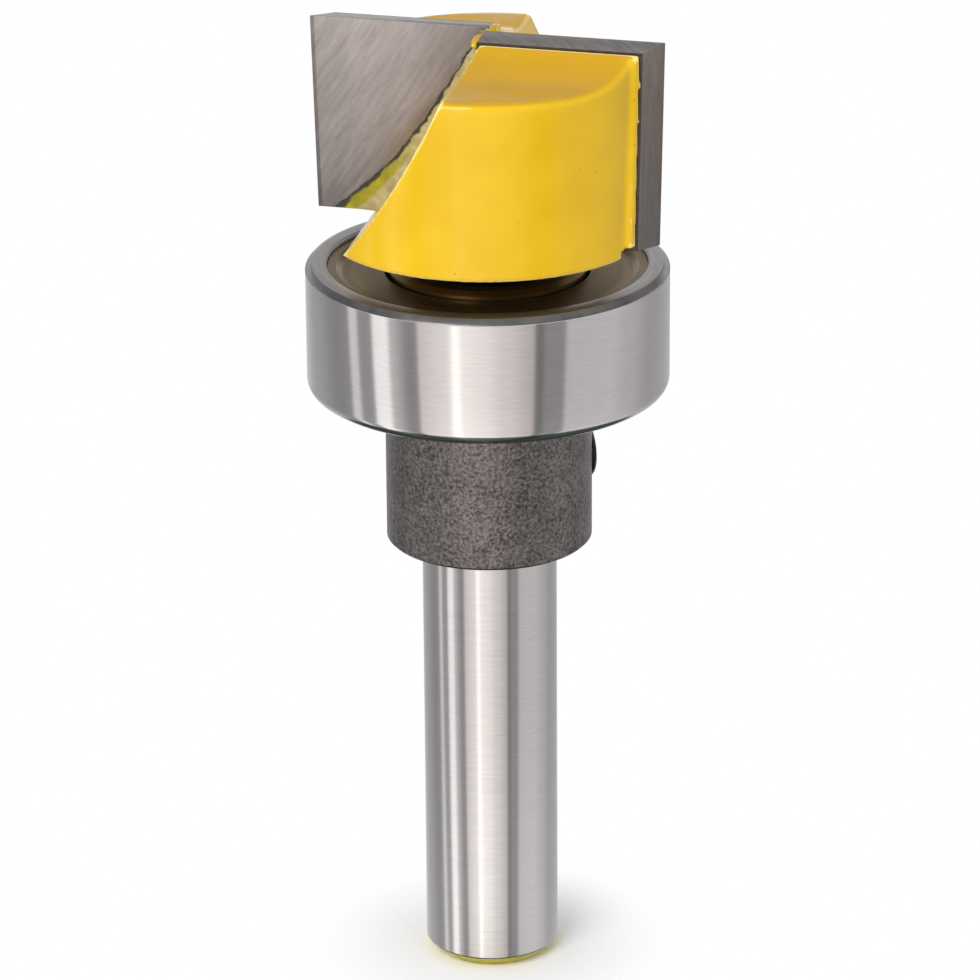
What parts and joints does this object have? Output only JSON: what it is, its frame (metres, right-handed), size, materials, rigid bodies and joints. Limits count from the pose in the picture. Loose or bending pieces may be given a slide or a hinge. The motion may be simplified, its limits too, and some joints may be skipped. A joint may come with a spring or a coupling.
{
  "type": "router bit",
  "caption": "Two-flute template router bit with brazed carbide plates, a shielded guide bearing and a locked stop collar on a straight shank.",
  "frame": {"origin": "centre of the shank's free end", "axes": "+Z along the bit's axis from the shank's free end to the cutting end; the top edges of the two rake faces run along X"},
  "size_m": [0.032, 0.032, 0.0871],
  "materials": {
    "painted_steel": "gloss yellow paint on the head, bare ground steel on the shank",
    "carbide": "ground tungsten carbide",
    "braze": "dull silver braze",
    "bearing_steel": "ground",
    "ball_steel": "polished",
    "cage_steel": "pressed sheet",
    "shield_steel": "dark pressed sheet",
    "collar_steel": "dull oxidised steel",
    "screw_steel": "black oxide"
  },
  "bodies": {
    "bit": {"cutter_body": "painted_steel", "carbide_tip_a": "carbide", "carbide_tip_b": "carbide", "braze_seam_a": "braze", "braze_seam_b": "braze", "inner_ring": "bearing_steel", "stop_collar": "collar_steel", "set_screw": "screw_steel"},
    "guide_bearing": {"outer_ring": "bearing_steel", "shield_upper": "shield_steel", "shield_lower": "shield_steel"},
    "ball_cage": {"cage_upper": "cage_steel", "cage_lower": "cage_steel", "cage_rivets": "cage_steel"},
    "ball_1_body": {"ball_1": "ball_steel"},
    "ball_2_body": {"ball_2": "ball_steel"},
    "ball_3_body": {"ball_3": "ball_steel"},
    "ball_4_body": {"ball_4": "ball_steel"},
    "ball_5_body": {"ball_5": "ball_steel"},
    "ball_6_body": {"ball_6": "ball_steel"},
    "ball_7_body": {"ball_7": "ball_steel"}
  },
  "joints": [
    {"name": "bearing_spin", "type": "hinge", "parent": "bit", "child": "guide_bearing", "pos_m": [0, 0, 0.06035], "axis": [0, 0, 1], "continuous": true},
    {"name": "cage_spin", "type": "hinge", "parent": "bit", "child": "ball_cage", "pos_m": [0, 0, 0.06035], "axis": [0, 0, 1], "continuous": true},
    {"name": "ball_1_spin", "type": "hinge", "parent": "ball_cage", "child": "ball_1_body", "pos_m": [0.011, 0, 0.06035], "axis": [0, 0, 1], "continuous": true},
    {"name": "ball_2_spin", "type": "hinge", "parent": "ball_cage", "child": "ball_2_body", "pos_m": [0.00686, 0.0086, 0.06035], "axis": [0, 0, 1], "continuous": true},
    {"name": "ball_3_spin", "type": "hinge", "parent": "ball_cage", "child": "ball_3_body", "pos_m": [-0.00245, 0.01072, 0.06035], "axis": [0, 0, 1], "continuous": true},
    {"name": "ball_4_spin", "type": "hinge", "parent": "ball_cage", "child": "ball_4_body", "pos_m": [-0.00991, 0.00477, 0.06035], "axis": [0, 0, 1], "continuous": true},
    {"name": "ball_5_spin", "type": "hinge", "parent": "ball_cage", "child": "ball_5_body", "pos_m": [-0.00991, -0.00477, 0.06035], "axis": [0, 0, 1], "continuous": true},
    {"name": "ball_6_spin", "type": "hinge", "parent": "ball_cage", "child": "ball_6_body", "pos_m": [-0.00245, -0.01072, 0.06035], "axis": [0, 0, 1], "continuous": true},
    {"name": "ball_7_spin", "type": "hinge", "parent": "ball_cage", "child": "ball_7_body", "pos_m": [0.00686, -0.0086, 0.06035], "axis": [0, 0, 1], "continuous": true}
  ],
  "couplings": [
    {"joint": "cage_spin", "follows": "bearing_spin", "ratio": 0.6352},
    {"joint": "ball_1_spin", "follows": "bearing_spin", "ratio": 1.7126},
    {"joint": "ball_2_spin", "follows": "bearing_spin", "ratio": 1.7126},
    {"joint": "ball_3_spin", "follows": "bearing_spin", "ratio": 1.7126},
    {"joint": "ball_4_spin", "follows": "bearing_spin", "ratio": 1.7126},
    {"joint": "ball_5_spin", "follows": "bearing_spin", "ratio": 1.7126},
    {"joint": "ball_6_spin", "follows": "bearing_spin", "ratio": 1.7126},
    {"joint": "ball_7_spin", "follows": "bearing_spin", "ratio": 1.7126}
  ]
}
